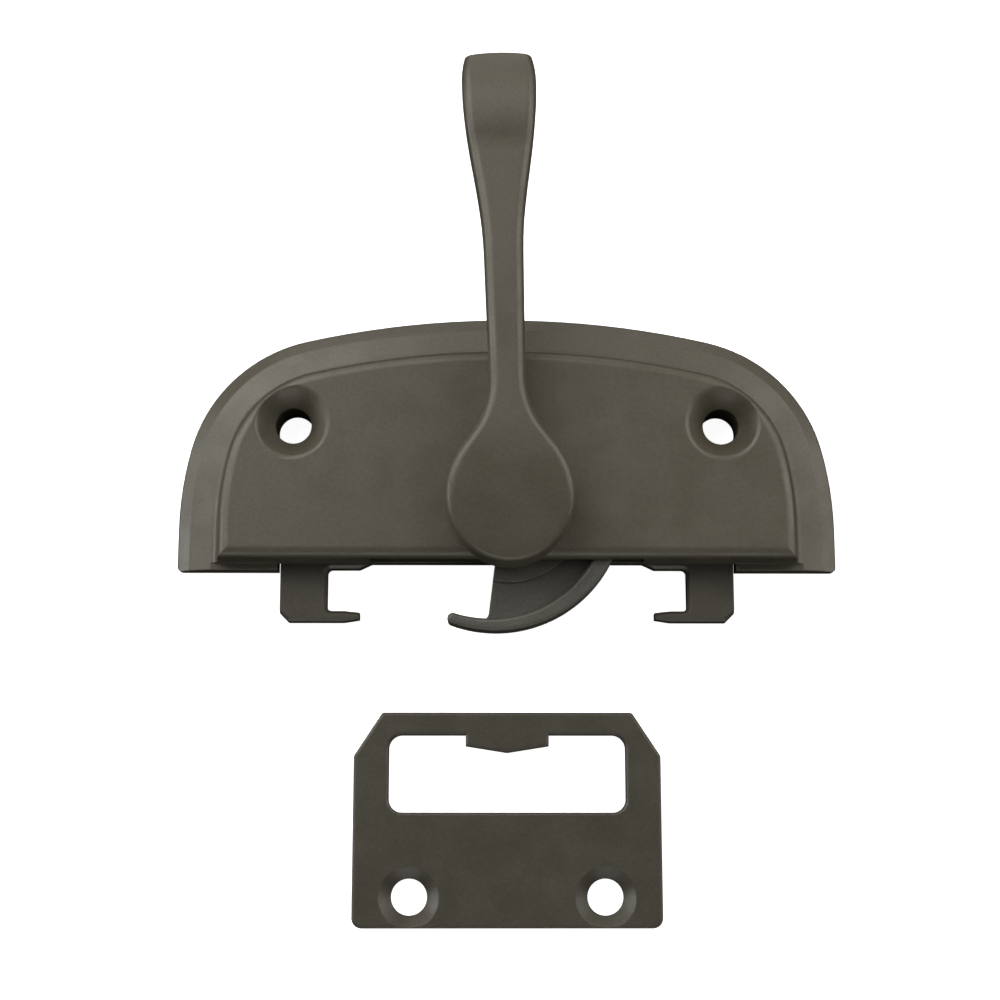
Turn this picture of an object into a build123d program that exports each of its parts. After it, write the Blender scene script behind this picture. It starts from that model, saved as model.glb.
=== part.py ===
from build123d import *
from math import cos, radians, sin, tan
import os

# Window sash lock with a long sweep lever, and its flat keeper plate.
# The lock lies on the sash rail: z = 0 is the mounting plane, +Z points out of the rail,
# the two screw holes lie along X and the origin is midway between them. The lever stands
# nearly along +Y, half way between locked and unlocked, and the keeper lies towards -Y.

os.makedirs("parts", exist_ok=True)

# ---------------------------------------------------------------- driving dimensions, mm

# Housing outline: a three-arc arch on a straight base
HALF_WIDTH = 40.5
CROWN_Y = 14.75
CROWN_RADIUS = 112.0
CROWN_TURN = 13.0            # degrees that the outline turns along half the crown
SIDE_RADIUS = 42.0
SIDE_TURN = 14.0             # degrees that it turns along each side
FLANGE_FRONT_Y = -17.5
FRONT_Y = -16.65

# Housing section, as (inset from the outline, height): edge, sloping lip, flatter band, wall
# and plateau, with the radius that rounds each corner in turn
FLANGE_EDGE = (0.0, 0.9)
BAND_START = (1.7, 2.0)
BAND_END = (5.15, 2.8)
PLATEAU_Z = 7.2
PLATEAU_INSET = 5.75
SECTION_ROUNDS = [0.5, 0.8, 1.2, 1.4]
FLANGE_CORNER_ROUND = 0.7
CAVITY_INSET = 7.4
FRONT_STRIP_Z = 2.6
FRONT_ROUND = 1.3
ROOF_THICKNESS = 1.5
COLLAR_HEIGHT = 0.9
LEG_GAP = 0.6

# Mounting screws: countersunk, 4.2 mm
SCREW_SPACING = 52.4
SCREW_HOLE_RADIUS = 2.2
COUNTERSINK_RADIUS = 4.1
COUNTERSINK_ANGLE = 82.0
COUNTERSINK_ROUND = 0.6      # how far the rounded rim widens the countersink
SCREW_BOSS_RADIUS = 4.9

# Pivot and lever
PIVOT = (0.25, -10.2)
REST_LEAN = 1.5              # degrees anticlockwise of straight up
BOSS_RADIUS = 7.65
BULGE_RADIUS = 10.0          # the boss widens into the flare on this radius
HOLLOW_RADIUS = 10.8         # and the flare narrows into the neck on this one
FLARE_ANGLE = 37.0
NECK_HALF_WIDTH = 2.15
PADDLE_START = 30.0          # distances from here on are measured from the pivot
PADDLE_START_HALF_WIDTH = 2.4
PADDLE_WIDEST = 51.6
PADDLE_HALF_WIDTH = 4.57
TIP_RADIUS = 20.0
TIP_HALF_ANGLE = 12.0
LEVER_REACH = 55.6
LEVER_BOTTOM_Z = 8.65
NECK_TOP_Z = 14.4
LEVER_THICKNESS = 3.1
BOSS_CREST = 9.0             # the boss's top falls away from here to the heel
BOSS_TOP_RADIUS = 48.0
BOSS_TOP_TURN = 25.0
NECK_UNDERSIDE_START = 12.5
RISE_START = 42.4
RISE_RADIUS = 12.0
RISE_ANGLE = 8.5
RISE_STRAIGHT = 0.5
CREST_RADIUS = 18.0
DROOP_ANGLE = 25.0
LEVER_TOP_ROUND = 1.1

# Spindle and bush
JOURNAL_RADIUS = 3.0
SQUARE = 4.2
SPINDLE_TOP_Z = 12.0
FIT = 0.05                   # radial clearance of running fits
BUSH_RADIUS = 4.0
BUSH_FLANGE_RADIUS = 6.0
BUSH_FLANGE_THICKNESS = 0.5
COLLAR_RADIUS = 7.5
COLLAR_ROUND = 0.4
SPRING_WASHER_RADIUS = 4.15
SPRING_WASHER_THICKNESS = 0.3

# Cam
CAM_BOTTOM_Z = 2.2
WEB_TOP_Z = 3.5
PAD_TOP_Z = 3.9
RIM_TOP_Z = 5.3
RIM_CENTRE = (-1.4, -9.45)
RIM_RADIUS = 15.8
RIM_FROM = -110.0            # degrees about the rim's centre, the hook's tip
RIM_MIDDLE = -60.0
RIM_TO = 18.0
RIM_TIP_WIDTH = 1.3
RIM_MIDDLE_WIDTH = 1.9
RIM_WIDTH = 2.2
WEB_EDGE_ANGLE = -97.1       # degrees about the pivot, the web's straight edge
WEB_EDGE_OFFSET = 0.93
HOOK_ROOT = (-2.2, -23.1)     # where that edge meets the rim
HOOK_ROUND = 0.8
RIM_ROUND = 0.45
HUB_RADIUS = 5.9
PAD_RADIUS = 9.0
DETENT_HUB_RADIUS = 4.2
DETENT_FLAT = 3.3
DETENT_HUB_TOP_Z = 5.1

# Cam screw and washer
CAM_SCREW_RADIUS = 1.5
CAM_SCREW_TIP_Z = 7.2
CAM_SCREW_HEAD_RADIUS = 2.8
CAM_SCREW_HEAD_HEIGHT = 1.3
WASHER_RADIUS = 3.9
WASHER_THICKNESS = 0.5

# Detent spring
WIRE_RADIUS = 0.5
SPRING_BEND_X = -5.5
SPRING_END_X = 8.0
POST_X = -6.9
POST_RADIUS = 2.6

# Base plate with its two guide legs
PLATE_THICKNESS = 2.0
PLATE_INSET = 7.55
ROOT_FRONT_Y = -17.2
PLATE_TONGUE_Y = -16.5
ROOT_INNER_X = 16.6
ROOT_SLANT = 1.5
LEG_INNER_X = 22.0
LEG_OUTER_X = 27.7
FOOT_TOP_Y = -22.4
FOOT_BOTTOM_Y = -23.7
FOOT_TIP_X = 18.0
FOOT_TIP_Y = -23.0
FOOT_POINT = 1.9             # how far back from its tip a foot reaches full width
FOOT_CORNER = 1.0
FOOT_TIP_WIDTH = 0.8
FOOT_BEVEL = 0.4
LEG_CORNER_ROUND = 0.6
BOSS_GAP = 0.15
RIVETS = [(-29.8, -11.5), (29.8, -11.5), (-16.5, 3.5), (16.5, 3.5)]
RIVET_RADIUS = 1.25
RIVET_HEAD_RADIUS = 2.2
RIVET_POST_RADIUS = 2.5
RIVET_TOP_Z = 5.0

# Keeper plate
KEEPER_WIDTH = 36.9
KEEPER_TOP_Y = -34.7
KEEPER_BOTTOM_Y = -60.1
KEEPER_THICKNESS = 1.6
KEEPER_TOP_CORNER = (3.4, 5.2)
KEEPER_BOTTOM_ROUND = 1.2
KEEPER_CORNER_ROUND = 0.5
KEEPER_EDGE_ROUND = 0.35
WINDOW_WIDTH = 28.5
WINDOW_TOP_Y = -37.4
WINDOW_BOTTOM_Y = -46.6
WINDOW_ROUND = 1.6
TAB_HALF_WIDTH = 5.0
TAB_SIDE_Y = -38.7
TAB_POINT_Y = -39.5
KEEPER_HOLE_SPACING = 23.4
KEEPER_HOLE_Y = -56.5
KEEPER_HOLE_RADIUS = 2.15
KEEPER_COUNTERSINK_RADIUS = 3.6
KEEPER_COUNTERSINK_ANGLE = 100.0

# Heights and places that follow from these
BAND_SLOPE = (BAND_END[1] - BAND_START[1]) / (BAND_END[0] - BAND_START[0])
STRIP_END_X = HALF_WIDTH - BAND_START[0] - (FRONT_STRIP_Z - BAND_START[1]) / BAND_SLOPE
ROOF_Z = PLATEAU_Z - ROOF_THICKNESS
COLLAR_Z = PLATEAU_Z + COLLAR_HEIGHT
SHOULDER_RADIUS = (
    HALF_WIDTH - CROWN_RADIUS * sin(radians(CROWN_TURN)) - SIDE_RADIUS * (1 - cos(radians(SIDE_TURN)))
) / (cos(radians(SIDE_TURN)) - sin(radians(CROWN_TURN)))
SHOULDER_TURN = 90 - CROWN_TURN - SIDE_TURN
SIDE_START_Y = (
    CROWN_Y - CROWN_RADIUS * (1 - cos(radians(CROWN_TURN)))
    - SHOULDER_RADIUS * (cos(radians(CROWN_TURN)) - sin(radians(SIDE_TURN)))
    - SIDE_RADIUS * sin(radians(SIDE_TURN))
)
SIDE_TOP_Y = KEEPER_TOP_Y - KEEPER_TOP_CORNER[1]
COUNTERSINK_DEPTH = (COUNTERSINK_RADIUS - SCREW_HOLE_RADIUS) / tan(radians(COUNTERSINK_ANGLE / 2))
CONE_TOP_Z = PLATEAU_Z - COUNTERSINK_ROUND / 2
SPRING_FLOOR_Z = PAD_TOP_Z + 0.1
SPRING_OFFSET = DETENT_HUB_RADIUS + FIT + WIRE_RADIUS
FLANK_LENGTH = (
    BOSS_RADIUS - NECK_HALF_WIDTH - (BULGE_RADIUS + HOLLOW_RADIUS) * (1 - cos(radians(FLARE_ANGLE)))
) / sin(radians(FLARE_ANGLE))
SCREW_POINTS = [(-SCREW_SPACING / 2, 0), (SCREW_SPACING / 2, 0)]
PIVOT_PLANE = Plane(origin=(*PIVOT, 0))
LEVER_PLANE = PIVOT_PLANE.rotated((0, 0, REST_LEAN))
# Across the lever: x runs along it and y runs up
LEVER_SIDE = Plane(origin=LEVER_PLANE.origin, x_dir=LEVER_PLANE.y_dir, z_dir=LEVER_PLANE.x_dir)


def arch_line(inset, front_y):
    """The housing's arch, drawn in by inset, from its right front corner round to its left one."""
    with BuildLine(mode=Mode.PRIVATE) as line:
        right = Line((HALF_WIDTH - inset, front_y), (HALF_WIDTH - inset, SIDE_START_Y))
        right_side = JernArc(right @ 1, (0, 1), SIDE_RADIUS - inset, SIDE_TURN)
        right_shoulder = JernArc(right_side @ 1, right_side % 1, SHOULDER_RADIUS - inset, SHOULDER_TURN)
        crown = JernArc(right_shoulder @ 1, right_shoulder % 1, CROWN_RADIUS - inset, 2 * CROWN_TURN)
        left_shoulder = JernArc(crown @ 1, crown % 1, SHOULDER_RADIUS - inset, SHOULDER_TURN)
        left_side = JernArc(left_shoulder @ 1, left_shoulder % 1, SIDE_RADIUS - inset, SIDE_TURN)
        Line(left_side @ 1, (inset - HALF_WIDTH, front_y))
    return line.line


def arch(inset, front_y):
    """The face inside that line and a straight front edge."""
    with BuildSketch(mode=Mode.PRIVATE) as outline:
        with BuildLine():
            add(arch_line(inset, front_y))
            Line((inset - HALF_WIDTH, front_y), (HALF_WIDTH - inset, front_y))
        make_face()
    return outline.sketch


def rim_point(inset, angle):
    """A point that far inside the cam rim's outer arc, at an angle about the rim's centre."""
    return (
        RIM_CENTRE[0] + (RIM_RADIUS - inset) * cos(radians(angle)),
        RIM_CENTRE[1] + (RIM_RADIUS - inset) * sin(radians(angle)),
    )


# ---------------------------------------------------------------- housing, die cast
# Bearing collar under the lever's boss, which overhangs the front wall
with BuildPart() as bearing_collar:
    with BuildSketch(PIVOT_PLANE.offset(ROOF_Z)):
        Circle(COLLAR_RADIUS)
    extrude(amount=COLLAR_Z - ROOF_Z)
    fillet(bearing_collar.edges().sort_by(Axis.Z)[-1], COLLAR_ROUND)

# The space that a countersunk screw takes, with the hole's rim rounded over
with BuildPart() as screw_space:
    with BuildSketch(Plane.XZ):
        with BuildLine():
            cone = Line((SCREW_HOLE_RADIUS, CONE_TOP_Z - COUNTERSINK_DEPTH), (COUNTERSINK_RADIUS, CONE_TOP_Z))
            rim = TangentArc(cone @ 1, (COUNTERSINK_RADIUS + COUNTERSINK_ROUND, PLATEAU_Z), tangent=cone % 1)
            Polyline(rim @ 1, (COUNTERSINK_RADIUS + COUNTERSINK_ROUND, COLLAR_Z), (0, COLLAR_Z), (0, 0),
                     (SCREW_HOLE_RADIUS, 0), cone @ 0)
        make_face()
    revolve(axis=Axis.Z)

with BuildPart() as housing:
    # Section from the flange's edge up to the plateau, swept round the arch
    with BuildSketch(Plane(origin=(HALF_WIDTH, FLANGE_FRONT_Y, 0), x_dir=(-1, 0, 0), z_dir=(0, 1, 0))):
        with BuildLine():
            section = FilletPolyline((0, 0), FLANGE_EDGE, BAND_START, BAND_END,
                                     (PLATEAU_INSET, PLATEAU_Z), (CAVITY_INSET + 1, PLATEAU_Z),
                                     radius=SECTION_ROUNDS)
            Polyline(section @ 1, (CAVITY_INSET + 1, 0), section @ 0)
        make_face()
    sweep(path=arch_line(0, FLANGE_FRONT_Y))
    extrude(arch(CAVITY_INSET, FLANGE_FRONT_Y), amount=PLATEAU_Z)
    # The plateau's front wall, rounded at the top, stands back behind the flange's front strip
    with BuildSketch(Plane.YZ):
        with BuildLine():
            over_edge = JernArc((FRONT_Y + FRONT_ROUND, PLATEAU_Z), (-1, 0), FRONT_ROUND, 90)
            Polyline(over_edge @ 1, (FRONT_Y, FRONT_STRIP_Z), (FLANGE_FRONT_Y - 1, FRONT_STRIP_Z),
                     (FLANGE_FRONT_Y - 1, COLLAR_Z), (FRONT_Y + FRONT_ROUND, COLLAR_Z), over_edge @ 0)
        make_face()
    extrude(amount=STRIP_END_X, both=True, mode=Mode.SUBTRACT)
    with BuildSketch():
        with Locations((0, FRONT_Y)):
            Rectangle(2 * LEG_OUTER_X + LEG_GAP, 3, align=(Align.CENTER, Align.MAX))
    extrude(amount=PLATEAU_Z, mode=Mode.SUBTRACT)
    # The flange's two front corners, rounded
    with BuildSketch():
        with Locations((HALF_WIDTH, FLANGE_FRONT_Y)):
            Rectangle(2 * FLANGE_CORNER_ROUND, 2 * FLANGE_CORNER_ROUND)
        with Locations((HALF_WIDTH - FLANGE_CORNER_ROUND, FLANGE_FRONT_Y + FLANGE_CORNER_ROUND)):
            Circle(FLANGE_CORNER_ROUND, mode=Mode.SUBTRACT)
        mirror(about=Plane.YZ)
    extrude(amount=PLATEAU_Z, mode=Mode.SUBTRACT)
    add(bearing_collar.part)
    # Hollow underside, open at the front for the cam and, lower down, for the base plate
    extrude(arch(CAVITY_INSET, FRONT_Y + ROOF_THICKNESS), amount=ROOF_Z, mode=Mode.SUBTRACT)
    with BuildSketch():
        with Locations((0, FRONT_Y)):
            Rectangle(2 * ROOT_INNER_X, 4)
    extrude(amount=ROOF_Z, mode=Mode.SUBTRACT)
    with BuildSketch():
        with Locations((0, FRONT_Y)):
            Rectangle(2 * LEG_OUTER_X + LEG_GAP, 4)
    extrude(amount=PLATE_THICKNESS + FIT, mode=Mode.SUBTRACT)
    # Bosses for the mounting screws, posts for the rivets, and the detent spring's post
    with BuildSketch():
        with Locations(*SCREW_POINTS):
            Circle(SCREW_BOSS_RADIUS)
    extrude(amount=ROOF_Z)
    with BuildSketch(Plane.XY.offset(PLATE_THICKNESS)):
        with Locations(*RIVETS):
            Circle(RIVET_POST_RADIUS)
    extrude(amount=ROOF_Z - PLATE_THICKNESS)
    with BuildSketch(PIVOT_PLANE.offset(SPRING_FLOOR_Z)):
        with Locations((POST_X, 0)):
            Circle(POST_RADIUS)
    extrude(amount=ROOF_Z - SPRING_FLOOR_Z)
    # Holes for the mounting screws, the rivets and the spindle's bush
    with Locations(*SCREW_POINTS):
        add(screw_space.part, mode=Mode.SUBTRACT)
    with BuildSketch():
        with Locations(*RIVETS):
            Circle(RIVET_RADIUS)
    extrude(amount=RIVET_TOP_Z, mode=Mode.SUBTRACT)
    with BuildSketch(PIVOT_PLANE):
        Circle(BUSH_RADIUS)
    extrude(amount=COLLAR_Z, mode=Mode.SUBTRACT)
housing.part.label = "housing"
export_step(housing.part, "parts/housing.step")

# ---------------------------------------------------------------- base plate, pressed steel
with BuildPart() as base_plate:
    extrude(arch(PLATE_INSET, FRONT_Y + ROOF_THICKNESS), amount=PLATE_THICKNESS)
    with BuildSketch():
        # Tongue through the housing's front, stepped forward at the legs' roots
        with Locations((0, PLATE_TONGUE_Y)):
            Rectangle(2 * LEG_OUTER_X, 4, align=(Align.CENTER, Align.MIN))
        with BuildLine():
            Polyline((ROOT_INNER_X, PLATE_TONGUE_Y), (ROOT_INNER_X + ROOT_SLANT, ROOT_FRONT_Y),
                     (LEG_INNER_X, ROOT_FRONT_Y), (LEG_INNER_X, FOOT_TOP_Y),
                     (FOOT_TIP_X + FOOT_POINT, FOOT_TOP_Y),
                     (FOOT_TIP_X, FOOT_TIP_Y + FOOT_TIP_WIDTH / 2),
                     (FOOT_TIP_X, FOOT_TIP_Y - FOOT_TIP_WIDTH / 2),
                     (FOOT_TIP_X + FOOT_POINT, FOOT_BOTTOM_Y),
                     (LEG_OUTER_X - FOOT_CORNER, FOOT_BOTTOM_Y),
                     (LEG_OUTER_X, FOOT_BOTTOM_Y + FOOT_CORNER), (LEG_OUTER_X, PLATE_TONGUE_Y), close=True)
        make_face()
        mirror(about=Plane.YZ)
    extrude(amount=PLATE_THICKNESS)
    inner_corners = base_plate.edges().filter_by(Axis.Z).filter_by(
        lambda edge: abs(abs(edge.center().X) - LEG_INNER_X) < 0.01)
    fillet(inner_corners, LEG_CORNER_ROUND)
    # Bevel round the upper edge of the feet
    foot_edges = base_plate.faces().sort_by(Axis.Z)[-1].edges().filter_by_position(
        Axis.Y, FOOT_BOTTOM_Y - 1, FOOT_TOP_Y + 0.1)
    chamfer(foot_edges, FOOT_BEVEL)
    # Clearance for the screw bosses and for the cam screw's head
    with BuildSketch():
        with Locations(*SCREW_POINTS):
            Circle(SCREW_BOSS_RADIUS + BOSS_GAP)
        with Locations(PIVOT):
            Circle(WASHER_RADIUS + 1)
    extrude(amount=PLATE_THICKNESS, mode=Mode.SUBTRACT)
    with Locations(*[Location((x, y, 0), (180, 0, 0)) for x, y in RIVETS]):
        CounterSinkHole(RIVET_RADIUS, RIVET_HEAD_RADIUS, PLATE_THICKNESS, counter_sink_angle=90)
base_plate.part.label = "base_plate"
export_step(base_plate.part, "parts/base_plate.step")

# ---------------------------------------------------------------- rivets, countersunk and flush
with BuildPart() as base_rivets:
    with Locations(*[Location((x, y, 0)) for x, y in RIVETS]):
        Cone(RIVET_HEAD_RADIUS, RIVET_RADIUS, RIVET_HEAD_RADIUS - RIVET_RADIUS,
             align=(Align.CENTER, Align.CENTER, Align.MIN))
        Cylinder(RIVET_RADIUS, RIVET_TOP_Z, align=(Align.CENTER, Align.CENTER, Align.MIN))
base_rivets.part.label = "base_rivets"
export_step(base_rivets.part, "parts/base_rivets.step")

# ---------------------------------------------------------------- lever, die cast
with BuildPart() as lever:
    # Seen from above: round boss, flared neck, paddle with a bowed tip
    with BuildSketch(LEVER_PLANE.offset(LEVER_BOTTOM_Z)):
        with BuildLine():
            heel = JernArc((0, -BOSS_RADIUS), (1, 0), BOSS_RADIUS, 90)
            bulge = JernArc(heel @ 1, heel % 1, BULGE_RADIUS, FLARE_ANGLE)
            flank = PolarLine(bulge @ 1, FLANK_LENGTH, direction=bulge % 1)
            hollow = JernArc(flank @ 1, flank % 1, HOLLOW_RADIUS, -FLARE_ANGLE)
            neck = Line(hollow @ 1, (PADDLE_START_HALF_WIDTH, PADDLE_START))
            swell = Spline(neck @ 1, (PADDLE_HALF_WIDTH, PADDLE_WIDEST), tangents=(neck % 1, (0, 1)))
            tip = JernArc((0, LEVER_REACH), (1, 0), TIP_RADIUS, -TIP_HALF_ANGLE)
            TangentArc(swell @ 1, tip @ 1, tangent=swell % 1)
            mirror(about=Plane.YZ)
        make_face()
    extrude(amount=NECK_TOP_Z)
    # Seen from the side: boss, level neck, rise to the paddle, and the drooping tip
    with BuildSketch(LEVER_SIDE):
        with BuildLine():
            heel_top = JernArc((BOSS_CREST, NECK_TOP_Z), (-1, 0), BOSS_TOP_RADIUS, BOSS_TOP_TURN)
            level = Line((BOSS_CREST, NECK_TOP_Z), (RISE_START, NECK_TOP_Z))
            rise = JernArc(level @ 1, level % 1, RISE_RADIUS, RISE_ANGLE)
            slope = PolarLine(rise @ 1, RISE_STRAIGHT, direction=rise % 1)
            crest = JernArc(slope @ 1, slope % 1, CREST_RADIUS, -RISE_ANGLE - DROOP_ANGLE)
            droop = PolarLine(crest @ 1, LEVER_THICKNESS, direction=crest % 1)
            level_under = Line((NECK_UNDERSIDE_START, NECK_TOP_Z - LEVER_THICKNESS),
                               (RISE_START, NECK_TOP_Z - LEVER_THICKNESS))
            rise_under = JernArc(level_under @ 1, level_under % 1, RISE_RADIUS + LEVER_THICKNESS, RISE_ANGLE)
            slope_under = PolarLine(rise_under @ 1, RISE_STRAIGHT, direction=rise_under % 1)
            crest_under = JernArc(slope_under @ 1, slope_under % 1, CREST_RADIUS - LEVER_THICKNESS,
                                  -RISE_ANGLE - DROOP_ANGLE)
            droop_under = PolarLine(crest_under @ 1, LEVER_THICKNESS, direction=crest_under % 1)
            Line(droop @ 1, droop_under @ 1)
            Polyline(level_under @ 0, (BOSS_CREST, LEVER_BOTTOM_Z), (-2 * BOSS_RADIUS, LEVER_BOTTOM_Z),
                     heel_top @ 1)
        make_face()
    extrude(amount=2 * BOSS_RADIUS, both=True, mode=Mode.INTERSECT)
    # Rounded all along its upper edges up to the tip
    across = Axis(LEVER_PLANE.origin, LEVER_PLANE.x_dir)
    top_faces = lever.faces().filter_by(lambda face: face.normal_at().Z > 0.5)
    top_edges = top_faces.edges().filter_by(across, reverse=True).sort_by(Axis.Y)
    fillet(top_edges[:-1], LEVER_TOP_ROUND)
    # Square socket for the spindle
    with BuildSketch(LEVER_PLANE.offset(LEVER_BOTTOM_Z)):
        Rectangle(SQUARE, SQUARE)
    extrude(amount=SPINDLE_TOP_Z - LEVER_BOTTOM_Z, mode=Mode.SUBTRACT)
lever.part.label = "lever"
export_step(lever.part, "parts/lever.step")

# ---------------------------------------------------------------- spindle, steel
with BuildPart() as spindle:
    with BuildSketch(LEVER_PLANE.offset(CAM_BOTTOM_Z + FIT)):
        Rectangle(SQUARE, SQUARE)
    extrude(amount=SPINDLE_TOP_Z - CAM_BOTTOM_Z - 2 * FIT)
    with BuildSketch(LEVER_PLANE.offset(DETENT_HUB_TOP_Z)):
        Circle(JOURNAL_RADIUS)
    extrude(amount=LEVER_BOTTOM_Z - DETENT_HUB_TOP_Z)
    # Threaded bore for the cam screw
    with BuildSketch(LEVER_PLANE.offset(CAM_BOTTOM_Z)):
        Circle(CAM_SCREW_RADIUS)
    extrude(amount=CAM_SCREW_TIP_Z + 1 - CAM_BOTTOM_Z, mode=Mode.SUBTRACT)
spindle.part.label = "spindle"
export_step(spindle.part, "parts/spindle.step")

# ---------------------------------------------------------------- flanged bush, acetal
with BuildPart() as spindle_bush:
    with BuildSketch(PIVOT_PLANE.offset(ROOF_Z)):
        Circle(BUSH_RADIUS)
    extrude(amount=COLLAR_Z - ROOF_Z)
    with BuildSketch(PIVOT_PLANE.offset(COLLAR_Z)):
        Circle(BUSH_FLANGE_RADIUS)
    extrude(amount=BUSH_FLANGE_THICKNESS)
    with BuildSketch(PIVOT_PLANE.offset(ROOF_Z)):
        Circle(JOURNAL_RADIUS + FIT)
    extrude(amount=LEVER_BOTTOM_Z - ROOF_Z, mode=Mode.SUBTRACT)
spindle_bush.part.label = "spindle_bush"
export_step(spindle_bush.part, "parts/spindle_bush.step")

# ---------------------------------------------------------------- conical spring washer, steel
with BuildPart() as spring_washer:
    washer_low_z = DETENT_HUB_TOP_Z + FIT / 2
    washer_high_z = ROOF_Z - FIT / 2
    with BuildSketch(Plane(origin=(*PIVOT, 0), x_dir=(1, 0, 0), z_dir=(0, -1, 0))):
        with BuildLine():
            Polyline((JOURNAL_RADIUS + FIT, washer_high_z),
                     (SPRING_WASHER_RADIUS, washer_low_z + SPRING_WASHER_THICKNESS),
                     (SPRING_WASHER_RADIUS, washer_low_z),
                     (JOURNAL_RADIUS + FIT, washer_high_z - SPRING_WASHER_THICKNESS), close=True)
        make_face()
    revolve(axis=Axis((*PIVOT, 0), (0, 0, 1)))
spring_washer.part.label = "spring_washer"
export_step(spring_washer.part, "parts/spring_washer.step")

# ---------------------------------------------------------------- cam with its hooked rim, die cast
with BuildPart() as cam:
    # Plate: hub, and a web cut off straight on the hook's side
    with BuildSketch(Plane.XY.offset(CAM_BOTTOM_Z), mode=Mode.PRIVATE) as rim_outline:
        with BuildLine():
            rim_outside = CenterArc(RIM_CENTRE, RIM_RADIUS, RIM_FROM, RIM_TO - RIM_FROM)
            rim_inside = ThreePointArc(
                rim_point(RIM_TIP_WIDTH, RIM_FROM), rim_point(RIM_MIDDLE_WIDTH, RIM_MIDDLE),
                rim_point(RIM_WIDTH, RIM_TO))
            TangentArc(rim_outside @ 0, rim_inside @ 0, tangent=rim_outside % 0 * -1)
            Line(rim_outside @ 1, rim_inside @ 1)
        make_face()
    with BuildSketch(PIVOT_PLANE.offset(CAM_BOTTOM_Z), mode=Mode.PRIVATE) as sector:
        with BuildLine():
            edge_root = (-WEB_EDGE_OFFSET, 0)
            web_edge = PolarLine(edge_root, 2 * RIM_RADIUS, WEB_EDGE_ANGLE)
            far_edge = PolarLine(edge_root, 2 * RIM_RADIUS, RIM_TO)
            Polyline(web_edge @ 1, (2 * RIM_RADIUS, -2 * RIM_RADIUS), far_edge @ 1)
        make_face()
    with BuildSketch(Plane.XY.offset(CAM_BOTTOM_Z)) as cam_plate:
        with Locations(RIM_CENTRE):
            Circle(RIM_RADIUS - RIM_WIDTH / 2)
        add(sector.sketch, mode=Mode.INTERSECT)
        with Locations(PIVOT):
            Circle(HUB_RADIUS)
        add(rim_outline.sketch)
        hook_root = cam_plate.vertices().sort_by_distance(HOOK_ROOT)[0]
        fillet(hook_root, HOOK_ROUND)
    extrude(amount=WEB_TOP_Z - CAM_BOTTOM_Z)
    # Raised pad round the hub
    with BuildSketch(Plane.XY.offset(WEB_TOP_Z)):
        with Locations(PIVOT):
            Circle(PAD_RADIUS)
        add(sector.sketch, mode=Mode.INTERSECT)
        with Locations(PIVOT):
            Circle(HUB_RADIUS)
    extrude(amount=PAD_TOP_Z - WEB_TOP_Z)
    # Rim, higher than the web
    extrude(rim_outline.sketch, amount=RIM_TOP_Z - CAM_BOTTOM_Z)
    rim_edges = cam.faces().sort_by(Axis.Z)[-1].edges()
    fillet(rim_edges, RIM_ROUND)
    # Two-flat hub that the detent spring presses on, and the spindle's square hole
    with BuildSketch(PIVOT_PLANE.offset(PAD_TOP_Z)):
        Circle(DETENT_HUB_RADIUS)
        Rectangle(2 * DETENT_FLAT, 4 * DETENT_FLAT, mode=Mode.INTERSECT)
    extrude(amount=DETENT_HUB_TOP_Z - PAD_TOP_Z)
    with BuildSketch(LEVER_PLANE.offset(CAM_BOTTOM_Z)):
        Rectangle(SQUARE, SQUARE)
    extrude(amount=RIM_TOP_Z, mode=Mode.SUBTRACT)
cam.part.label = "cam"
export_step(cam.part, "parts/cam.step")

# ---------------------------------------------------------------- cam screw and washer, steel
with BuildPart() as cam_washer:
    with BuildSketch(PIVOT_PLANE.offset(CAM_BOTTOM_Z - WASHER_THICKNESS)):
        Circle(WASHER_RADIUS)
        Circle(CAM_SCREW_RADIUS, mode=Mode.SUBTRACT)
    extrude(amount=WASHER_THICKNESS)
cam_washer.part.label = "cam_washer"
export_step(cam_washer.part, "parts/cam_washer.step")

with BuildPart() as cam_screw:
    head_top_z = CAM_BOTTOM_Z - WASHER_THICKNESS
    with BuildSketch(PIVOT_PLANE.offset(head_top_z - CAM_SCREW_HEAD_HEIGHT)):
        Circle(CAM_SCREW_HEAD_RADIUS)
    extrude(amount=CAM_SCREW_HEAD_HEIGHT)
    fillet(cam_screw.faces().sort_by(Axis.Z)[0].edges(), CAM_SCREW_HEAD_HEIGHT / 2)
    with BuildSketch(PIVOT_PLANE.offset(head_top_z)):
        Circle(CAM_SCREW_RADIUS)
    extrude(amount=CAM_SCREW_TIP_Z - head_top_z)
    # Cross recess
    with BuildSketch(PIVOT_PLANE.offset(head_top_z - CAM_SCREW_HEAD_HEIGHT)):
        Rectangle(2 * CAM_SCREW_RADIUS, CAM_SCREW_RADIUS / 3)
        Rectangle(CAM_SCREW_RADIUS / 3, 2 * CAM_SCREW_RADIUS)
    extrude(amount=CAM_SCREW_HEAD_HEIGHT / 2, mode=Mode.SUBTRACT)
cam_screw.part.label = "cam_screw"
export_step(cam_screw.part, "parts/cam_screw.step")

# ---------------------------------------------------------------- detent spring, bent wire
with BuildPart() as detent_spring:
    with BuildLine(PIVOT_PLANE.offset(SPRING_FLOOR_Z + WIRE_RADIUS)) as hairpin:
        near_leg = Line((SPRING_END_X, SPRING_OFFSET), (SPRING_BEND_X, SPRING_OFFSET))
        bend = JernArc(near_leg @ 1, (-1, 0), SPRING_OFFSET, 180)
        Line((SPRING_BEND_X, -SPRING_OFFSET), (SPRING_END_X, -SPRING_OFFSET))
    with BuildSketch(Plane(origin=hairpin.line @ 0, z_dir=hairpin.line % 0)):
        Circle(WIRE_RADIUS)
    sweep()
detent_spring.part.label = "detent_spring"
export_step(detent_spring.part, "parts/detent_spring.step")

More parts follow.
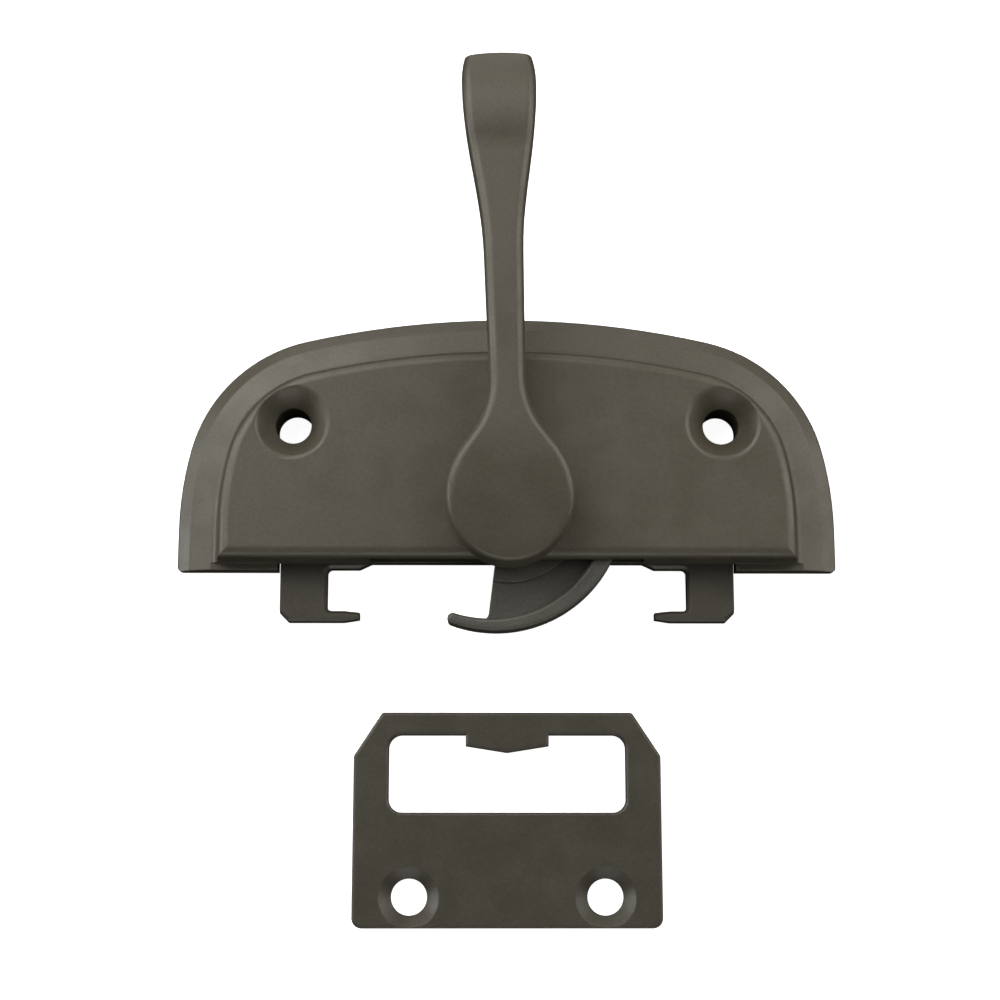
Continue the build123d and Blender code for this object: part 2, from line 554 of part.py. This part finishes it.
# ---------------------------------------------------------------- keeper plate, die cast
with BuildPart() as keeper_plate:
    with BuildSketch() as keeper_outline:
        with BuildLine():
            Polyline((0, KEEPER_BOTTOM_Y), (KEEPER_WIDTH / 2, KEEPER_BOTTOM_Y),
                     (KEEPER_WIDTH / 2, SIDE_TOP_Y),
                     (KEEPER_WIDTH / 2 - KEEPER_TOP_CORNER[0], KEEPER_TOP_Y), (0, KEEPER_TOP_Y))
            mirror(about=Plane.YZ)
        make_face()
        fillet(keeper_outline.vertices().group_by(Axis.Y)[0], KEEPER_BOTTOM_ROUND)
        top_corners = keeper_outline.vertices().filter_by_position(Axis.Y, SIDE_TOP_Y, KEEPER_TOP_Y)
        fillet(top_corners, KEEPER_CORNER_ROUND)
        # Window for the hook, with a pointed tab at the middle of its top edge
        with Locations((0, (WINDOW_TOP_Y + WINDOW_BOTTOM_Y) / 2)):
            RectangleRounded(WINDOW_WIDTH, WINDOW_TOP_Y - WINDOW_BOTTOM_Y, WINDOW_ROUND, mode=Mode.SUBTRACT)
        with BuildLine():
            Polyline((-TAB_HALF_WIDTH, WINDOW_TOP_Y), (-TAB_HALF_WIDTH, TAB_SIDE_Y), (0, TAB_POINT_Y),
                     (TAB_HALF_WIDTH, TAB_SIDE_Y), (TAB_HALF_WIDTH, WINDOW_TOP_Y), close=True)
        make_face()
    extrude(amount=KEEPER_THICKNESS)
    fillet(keeper_plate.faces().sort_by(Axis.Z)[-1].edges(), KEEPER_EDGE_ROUND)
    with Locations((0, KEEPER_HOLE_Y, KEEPER_THICKNESS)):
        with GridLocations(KEEPER_HOLE_SPACING, 0, 2, 1):
            CounterSinkHole(KEEPER_HOLE_RADIUS, KEEPER_COUNTERSINK_RADIUS,
                            counter_sink_angle=KEEPER_COUNTERSINK_ANGLE)
keeper_plate.part.label = "keeper_plate"
export_step(keeper_plate.part, "parts/keeper_plate.step")
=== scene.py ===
from math import cos, pi, sin
import bmesh
import bpy
from mathutils import Matrix, Vector


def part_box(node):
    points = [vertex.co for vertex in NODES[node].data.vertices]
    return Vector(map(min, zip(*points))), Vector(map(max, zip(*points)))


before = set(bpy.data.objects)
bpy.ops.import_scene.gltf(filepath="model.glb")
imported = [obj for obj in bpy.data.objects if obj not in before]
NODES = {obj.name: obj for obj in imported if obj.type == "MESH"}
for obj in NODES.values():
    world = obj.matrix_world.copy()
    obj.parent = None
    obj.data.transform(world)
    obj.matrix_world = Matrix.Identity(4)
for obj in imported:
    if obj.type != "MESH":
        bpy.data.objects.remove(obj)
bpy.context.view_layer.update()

# Lengths are in metres and in the CAD frame: the lock's mounting plane is z = 0, its screw
# holes lie along X, the lever points along +Y and the keeper lies towards -Y.
MM = 0.001
LOCK_LOW, LOCK_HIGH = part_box("housing")

# ------------------------------------------------------------------------------- camera
CAMERA_POINT = Vector((-2.70 * MM, -51.05 * MM, 218.13 * MM))
CAMERA_TARGET = Vector((-0.86 * MM, -8.27 * MM, 0))
CAMERA_LENS = 64.33          # focal length in millimetres, for a sensor 36 mm wide
CAMERA_NEAR = 10 * MM


def add_camera():
    """A camera over the keeper, tilted towards the lever, with +Y up in its picture."""
    data = bpy.data.cameras.new("camera")
    data.lens = CAMERA_LENS
    data.clip_start = CAMERA_NEAR
    camera = bpy.data.objects.new("camera", data)
    bpy.context.scene.collection.objects.link(camera)
    back = (CAMERA_POINT - CAMERA_TARGET).normalized()
    right = Vector((0, 1, 0)).cross(back).normalized()
    up = back.cross(right)
    turn = Matrix((right, up, back)).transposed().to_4x4()
    camera.matrix_world = Matrix.Translation(CAMERA_POINT) @ turn
    bpy.context.scene.camera = camera


# ------------------------------------------------------------------------------- lights
SURROUNDINGS_STRENGTH = 0.17
SURROUNDINGS_COLOUR = (0.99, 1.0, 0.98)
HORIZON = (-0.15, 0.05)      # the surroundings fade in between these heights of a unit direction
SOFTBOXES = {
    # name: (place, width and height, watts, colour)
    "key_upper_left": ((-0.32, 0.34, 0.48), (0.62, 0.52), 3.2, (1.0, 0.99, 0.97)),
    "upper_right": ((0.42, 0.26, 0.42), (0.56, 0.46), 1.9, (1.0, 0.98, 0.94)),
    "low_beyond_lever": ((0.0, 0.60, 0.14), (0.60, 0.12), 0.5, (1.0, 1.0, 0.98)),
    "low_left": ((-0.60, 0.05, 0.12), (0.50, 0.14), 1.3, (0.97, 1.0, 1.0)),
    "low_right": ((0.60, 0.05, 0.12), (0.50, 0.14), 0.7, (1.0, 0.98, 0.95)),
    "low_front": ((0.0, -0.60, 0.16), (0.60, 0.20), 0.7, (1.0, 0.99, 0.97)),
}


def add_softbox(name, place, size, watts, colour):
    """A rectangular studio light that faces the middle of the lock."""
    data = bpy.data.lights.new(name, "AREA")
    data.shape = "RECTANGLE"
    data.size, data.size_y = size
    data.energy = watts
    data.color = colour
    light = bpy.data.objects.new(name, data)
    bpy.context.scene.collection.objects.link(light)
    light.location = place
    lock_middle = (LOCK_LOW + LOCK_HIGH) / 2
    light.rotation_euler = (Vector(place) - lock_middle).to_track_quat("Z", "Y").to_euler()


def add_lights():
    """Dim even surroundings, two large softboxes beyond the lever and a low one on each side."""
    for name, (place, size, watts, colour) in SOFTBOXES.items():
        add_softbox(name, place, size, watts, colour)
    bpy.context.scene.world = surroundings()


def surroundings():
    """Even dim light from above, and darkness from below, where the floor would shade it."""
    world = bpy.data.worlds.new("surroundings")
    world.use_nodes = True
    tree = world.node_tree
    background = tree.nodes["Background"]
    background.inputs["Color"].default_value = (*SURROUNDINGS_COLOUR, 1)
    direction = tree.nodes.new("ShaderNodeSeparateXYZ")
    looked_along = tree.nodes.new("ShaderNodeTexCoord").outputs["Generated"]
    tree.links.new(looked_along, direction.inputs["Vector"])
    brightness = remap(tree, direction.outputs["Z"], *HORIZON, 0, SURROUNDINGS_STRENGTH)
    tree.links.new(brightness, background.inputs["Strength"])
    return world


# ------------------------------------------------------------------------------- node helpers
MIX_FIRST, MIX_SECOND, MIX_RESULT = 6, 7, 2      # the Mix node's sockets for colours
BEVEL_SAMPLES = 6
OCCLUSION_SAMPLES = 8
EDGE_LEAN = (0.995, 0.90)    # cosines of the softened normal's lean where an edge starts and is full
EDGE_POCKET = (0.97, 0.85)   # openness where an edge starts to count as an inward one, and does so fully


def new_material(name):
    """An empty node material: its tree, its shader and its object coordinates in metres."""
    material = bpy.data.materials.new(name)
    material.use_nodes = True
    tree = material.node_tree
    place = tree.nodes.new("ShaderNodeTexCoord").outputs["Object"]
    return material, tree, tree.nodes["Principled BSDF"], place


def noise(tree, place, grain, detail=2.0, stretch=(1, 1, 1)):
    """Noise with features about grain metres across, stretched by the given factors."""
    scaled = tree.nodes.new("ShaderNodeMapping")
    scaled.inputs["Scale"].default_value = [1 / (grain * factor) for factor in stretch]
    tree.links.new(place, scaled.inputs["Vector"])
    texture = tree.nodes.new("ShaderNodeTexNoise")
    texture.inputs["Scale"].default_value = 1
    texture.inputs["Detail"].default_value = detail
    tree.links.new(scaled.outputs["Vector"], texture.inputs["Vector"])
    return texture.outputs["Fac"]


def remap(tree, value, low, high, to_low=0.0, to_high=1.0):
    """Value taken from low..high to to_low..to_high, smoothly and clamped."""
    node = tree.nodes.new("ShaderNodeMapRange")
    node.interpolation_type = "SMOOTHSTEP"
    node.inputs["From Min"].default_value = low
    node.inputs["From Max"].default_value = high
    node.inputs["To Min"].default_value = to_low
    node.inputs["To Max"].default_value = to_high
    tree.links.new(value, node.inputs["Value"])
    return node.outputs["Result"]


def combine(tree, operation, first, second):
    """A math node on two sockets, or on a socket and a number."""
    node = tree.nodes.new("ShaderNodeMath")
    node.operation = operation
    tree.links.new(first, node.inputs[0])
    if isinstance(second, (int, float)):
        node.inputs[1].default_value = second
    else:
        tree.links.new(second, node.inputs[1])
    return node.outputs["Value"]


def mix_colour(tree, amount, first, second):
    """Colour first where amount is 0 and second where it is 1; each is a socket or a colour."""
    node = tree.nodes.new("ShaderNodeMix")
    node.data_type = "RGBA"
    tree.links.new(amount, node.inputs["Factor"])
    for socket, colour in ((node.inputs[MIX_FIRST], first), (node.inputs[MIX_SECOND], second)):
        if isinstance(colour, tuple):
            socket.default_value = (*colour, 1)
        else:
            tree.links.new(colour, socket)
    return node.outputs[MIX_RESULT]


def softened(tree, radius):
    """The surface's normal with its sharp edges rounded to the given radius."""
    bevel = tree.nodes.new("ShaderNodeBevel")
    bevel.samples = BEVEL_SAMPLES
    bevel.inputs["Radius"].default_value = radius
    return bevel.outputs["Normal"]


def recesses(tree, reach, open_enough=0.62, deep=0.15):
    """1 in the corners and pockets of a piece, 0 on its open faces."""
    occlusion = tree.nodes.new("ShaderNodeAmbientOcclusion")
    occlusion.samples = OCCLUSION_SAMPLES
    occlusion.only_local = True
    occlusion.inputs["Distance"].default_value = reach
    return remap(tree, occlusion.outputs["AO"], open_enough, deep)


def outer_edges(tree, radius):
    """1 on the outward edges of a piece within radius of them, 0 elsewhere."""
    true_normal = tree.nodes.new("ShaderNodeNewGeometry").outputs["Normal"]
    dot = tree.nodes.new("ShaderNodeVectorMath")
    dot.operation = "DOT_PRODUCT"
    tree.links.new(softened(tree, radius), dot.inputs[0])
    tree.links.new(true_normal, dot.inputs[1])
    bent = remap(tree, dot.outputs["Value"], *EDGE_LEAN)
    inward = recesses(tree, 2 * radius, *EDGE_POCKET)
    outward = combine(tree, "SUBTRACT", bent, inward)
    return remap(tree, outward, 0, 1)


def bump(tree, height, depth, under=None):
    """A bump of the given depth in metres, on top of the normal under."""
    node = tree.nodes.new("ShaderNodeBump")
    node.inputs["Strength"].default_value = 1
    node.inputs["Distance"].default_value = depth
    tree.links.new(height, node.inputs["Height"])
    if under is not None:
        tree.links.new(under, node.inputs["Normal"])
    return node.outputs["Normal"]


# ------------------------------------------------------------------------------- materials
NOISE_RANGE = (0.3, 0.7)     # most of a noise's values lie between these

# Each bronze coat as its darker tone, its lighter tone and the lighter tone of its edges, which are worn
# thin and also carry a painted highlight
CAST_COLOURS = ((0.070, 0.062, 0.044), (0.088, 0.078, 0.056), (0.17, 0.16, 0.13))
# The pressed parts' coat: a darker copy of the cast coat, its darkness partly painted shade
PRESSED_SHADED_COLOURS = ((0.047, 0.041, 0.029), (0.060, 0.053, 0.038), (0.12, 0.11, 0.09))
CAM_COLOURS = ((0.072, 0.067, 0.055), (0.098, 0.092, 0.077), (0.26, 0.25, 0.22))
CLOUD_GRAIN = 14 * MM
CLOUD_RANGE = (0.25, 0.75)
CLOUD_SHARE = 0.4            # of the tone's changes; the pigment makes the rest
PIGMENT_GRAIN = 0.35 * MM
PIGMENT_RANGE = (0.35, 0.65)
WEAR_AND_HIGHLIGHT_WIDTH = 0.35 * MM
WEAR_AND_HIGHLIGHT_GRAIN = 1.6 * MM
WEAR_AND_HIGHLIGHT_RANGE = (0.30, 0.62)
SHADE_TONE = 0.45             # how light the painted shade in the recesses is beside the coat's darker tone
GLOSS_GRAIN = 4 * MM
COAT_ROUGHNESS = (0.36, 0.48)
RECESS_ROUGHNESS = 0.3         # added in the recesses, under the painted shade
COAT_METALLIC = 0.15
COAT_IOR = 1.55
COAT_ROUNDING = 0.2 * MM
PEEL_GRAIN, PEEL_DEPTH = 1.1 * MM, 0.010 * MM
SPECK_GRAIN, SPECK_DEPTH = 0.16 * MM, 0.0025 * MM


def bronze_coat(name, dark, light, worn_highlit_tone, wear_and_highlight=0.35, shade_reach=3.5 * MM, recess_shade=0.5):
    """Baked bronze enamel: cloudy tone, fine pigment, orange peel, a thinned film on edges that also
    serves as a painted highlight, and painted shade in the recesses.
    """
    material, tree, shader, place = new_material(name)
    clouds = remap(tree, noise(tree, place, CLOUD_GRAIN, 2), *CLOUD_RANGE)
    pigment = remap(tree, noise(tree, place, PIGMENT_GRAIN, 2), *PIGMENT_RANGE)
    tone = combine(tree, "ADD", combine(tree, "MULTIPLY", clouds, CLOUD_SHARE),
                   combine(tree, "MULTIPLY", pigment, 1 - CLOUD_SHARE))
    coat = mix_colour(tree, tone, dark, light)
    # The film is thin on the edges and lighter there, partly wear and partly a painted highlight; the
    # recesses get painted shade
    patchy = remap(tree, noise(tree, place, WEAR_AND_HIGHLIGHT_GRAIN, 4), *WEAR_AND_HIGHLIGHT_RANGE)
    wear_and_highlight_mask = combine(tree, "MULTIPLY", outer_edges(tree, WEAR_AND_HIGHLIGHT_WIDTH), patchy)
    wear_and_highlight_mask = combine(tree, "MULTIPLY", wear_and_highlight_mask, wear_and_highlight)
    # Painted highlight and wear: the outward edges turn towards the lighter edge tone
    coat = mix_colour(tree, wear_and_highlight_mask, coat, worn_highlit_tone)
    # Painted shade: the coat is darker, and rougher, in the piece's own corners and pockets
    painted_shade = combine(tree, "MULTIPLY", recesses(tree, shade_reach), recess_shade)
    coat = mix_colour(tree, painted_shade, coat, tuple(SHADE_TONE * value for value in dark))
    tree.links.new(coat, shader.inputs["Base Color"])
    gloss = remap(tree, noise(tree, place, GLOSS_GRAIN, 4), *NOISE_RANGE, *COAT_ROUGHNESS)
    dulled = combine(tree, "ADD", gloss, combine(tree, "MULTIPLY", painted_shade, RECESS_ROUGHNESS))
    tree.links.new(dulled, shader.inputs["Roughness"])
    shader.inputs["Metallic"].default_value = COAT_METALLIC
    shader.inputs["IOR"].default_value = COAT_IOR
    # Edges drawn round by the coat, then orange peel and a finer grain on top
    peel = bump(tree, noise(tree, place, PEEL_GRAIN, 1), PEEL_DEPTH, softened(tree, COAT_ROUNDING))
    specks = bump(tree, noise(tree, place, SPECK_GRAIN, 2), SPECK_DEPTH, peel)
    tree.links.new(specks, shader.inputs["Normal"])
    return material


ZINC_DARK, ZINC_LIGHT = (0.34, 0.33, 0.30), (0.55, 0.54, 0.50)
ZINC_RECESS_SHADE = (0.05, 0.045, 0.04)
ZINC_ROUGHNESS = (0.24, 0.42)
ZINC_RANGE = (0.8, 1.2)      # of the streaks and the clouds added together
ZINC_CLOUDS = 1.8 * MM
STREAK_GRAIN, STREAK_STRETCH = 0.12 * MM, (1, 1, 14)
TOOL_MARK_DEPTH = 0.004 * MM
RECESS_SHADE_SHARE = 0.6            # how far the painted shade darkens the bare steel and plastic in their deepest recesses


def plated_steel(name):
    """Zinc-plated steel with fine drawn streaks and a cloudy passivated tone."""
    material, tree, shader, place = new_material(name)
    streaks = noise(tree, place, STREAK_GRAIN, 3, STREAK_STRETCH)
    clouds = noise(tree, place, ZINC_CLOUDS, 3)
    tone = remap(tree, combine(tree, "ADD", streaks, clouds), *ZINC_RANGE)
    colour = mix_colour(tree, tone, ZINC_DARK, ZINC_LIGHT)
    # Painted shade: darker towards the steel's own recesses
    painted_shade = combine(tree, "MULTIPLY", recesses(tree, 1.0 * MM), RECESS_SHADE_SHARE)
    colour = mix_colour(tree, painted_shade, colour, ZINC_RECESS_SHADE)
    tree.links.new(colour, shader.inputs["Base Color"])
    shader.inputs["Metallic"].default_value = 1
    tree.links.new(remap(tree, streaks, *NOISE_RANGE, *ZINC_ROUGHNESS), shader.inputs["Roughness"])
    tree.links.new(bump(tree, streaks, TOOL_MARK_DEPTH), shader.inputs["Normal"])
    return material


ACETAL_DARK, ACETAL_LIGHT = (0.58, 0.56, 0.50), (0.66, 0.64, 0.58)
ACETAL_RECESS_SHADE = (0.12, 0.11, 0.09)
ACETAL_ROUGHNESS = (0.34, 0.5)
MOTTLE_GRAIN, MOTTLE_RANGE = 0.6 * MM, (0.35, 0.65)
RING_GRAIN, RING_STRETCH = 0.14 * MM, (20, 20, 1)


def natural_acetal(name):
    """Turned natural acetal: satin off-white, with faint tool rings round the spindle's axis."""
    material, tree, shader, place = new_material(name)
    mottle = remap(tree, noise(tree, place, MOTTLE_GRAIN, 3), *MOTTLE_RANGE)
    colour = mix_colour(tree, mottle, ACETAL_DARK, ACETAL_LIGHT)
    # Painted shade: darker towards the bush's own recesses
    painted_shade = combine(tree, "MULTIPLY", recesses(tree, 0.6 * MM), RECESS_SHADE_SHARE)
    colour = mix_colour(tree, painted_shade, colour, ACETAL_RECESS_SHADE)
    tree.links.new(colour, shader.inputs["Base Color"])
    turned = noise(tree, place, RING_GRAIN, 2, RING_STRETCH)
    tree.links.new(remap(tree, turned, *NOISE_RANGE, *ACETAL_ROUGHNESS), shader.inputs["Roughness"])
    tree.links.new(bump(tree, turned, TOOL_MARK_DEPTH), shader.inputs["Normal"])
    return material


PAPER_DARK, PAPER_LIGHT = (0.86, 0.86, 0.86), (0.90, 0.90, 0.90)
PAPER_GRAIN = 2.5 * MM
PAPER_ROUGHNESS = 0.95
PAPER_GLOW = 0.92


def pale_floor(name):
    """White paper on a light table, so that what shows through the holes stays white."""
    material, tree, shader, place = new_material(name)
    fibres = remap(tree, noise(tree, place, PAPER_GRAIN, 5), *NOISE_RANGE)
    paper = mix_colour(tree, fibres, PAPER_DARK, PAPER_LIGHT)
    tree.links.new(paper, shader.inputs["Base Color"])
    shader.inputs["Roughness"].default_value = PAPER_ROUGHNESS
    shader.inputs["Specular IOR Level"].default_value = 0
    shader.inputs["Emission Color"].default_value = (1, 1, 1, 1)
    shader.inputs["Emission Strength"].default_value = PAPER_GLOW
    return material


def dress(material, *names):
    """Give the named CAD nodes a material."""
    for name in names:
        NODES[name].data.materials.clear()
        NODES[name].data.materials.append(material)


def add_materials():
    """Cast parts, pressed parts darkened partly as painted shade, the cam with more wear and painted
    highlight on its edges, small steel parts and the bush.
    """
    # The cam: more edge wear with painted highlight, and a narrower, deeper painted shade in its
    # recesses
    cam_wear_highlight_and_shade = dict(wear_and_highlight=0.5, shade_reach=1.6 * MM, recess_shade=0.75)
    dress(bronze_coat("cast_bronze", *CAST_COLOURS), "housing", "lever")
    dress(bronze_coat("pressed_bronze_shaded", *PRESSED_SHADED_COLOURS), "base_plate", "keeper_plate")
    dress(bronze_coat("cam_bronze", *CAM_COLOURS, **cam_wear_highlight_and_shade), "cam")
    dress(plated_steel("zinc_plate"), "spindle", "cam_screw", "cam_washer", "spring_washer",
          "detent_spring", "base_rivets")
    dress(natural_acetal("acetal"), "spindle_bush")


# ------------------------------------------------------------------------------- floor
FLOOR_RADIUS = 2.0
SWEEP_RADIUS = 1.5
WALL_HEIGHT = 4.0
FLOOR_GAP = 0.02 * MM
SWEEP_STEPS = 16
TURN_STEPS = 96


def sweep_profile():
    """The floor's outline from its middle outwards, as (distance, height), up to the wall's top."""
    profile = [(0.0, 0.0)]
    for step in range(SWEEP_STEPS + 1):
        angle = pi / 2 * step / SWEEP_STEPS
        profile.append((FLOOR_RADIUS + SWEEP_RADIUS * sin(angle), SWEEP_RADIUS * (1 - cos(angle))))
    profile.append((FLOOR_RADIUS + SWEEP_RADIUS, WALL_HEIGHT))
    return profile


def add_floor():
    """A plain pale floor just under the lock and the keeper, which sweeps up to a wall all round."""
    mesh = bpy.data.meshes.new("floor")
    form = bmesh.new()
    line = [form.verts.new((distance, 0, height)) for distance, height in sweep_profile()]
    edges = [form.edges.new(pair) for pair in zip(line, line[1:])]
    bmesh.ops.spin(form, geom=line + edges, cent=(0, 0, 0), axis=(0, 0, 1), angle=2 * pi,
                   steps=TURN_STEPS, use_merge=True)
    bmesh.ops.remove_doubles(form, verts=form.verts, dist=FLOOR_GAP)
    for face in form.faces:
        face.smooth = True
    form.to_mesh(mesh)
    form.free()
    floor = bpy.data.objects.new("floor", mesh)
    floor.location.z = LOCK_LOW.z - FLOOR_GAP
    floor.data.materials.append(pale_floor("paper"))
    # The floor shows, but it neither lights the object nor is mirrored in it
    floor.visible_glossy = False
    floor.visible_diffuse = False
    bpy.context.scene.collection.objects.link(floor)


add_camera()
add_lights()
add_floor()
add_materials()
bpy.context.scene.view_settings.view_transform = "Standard"
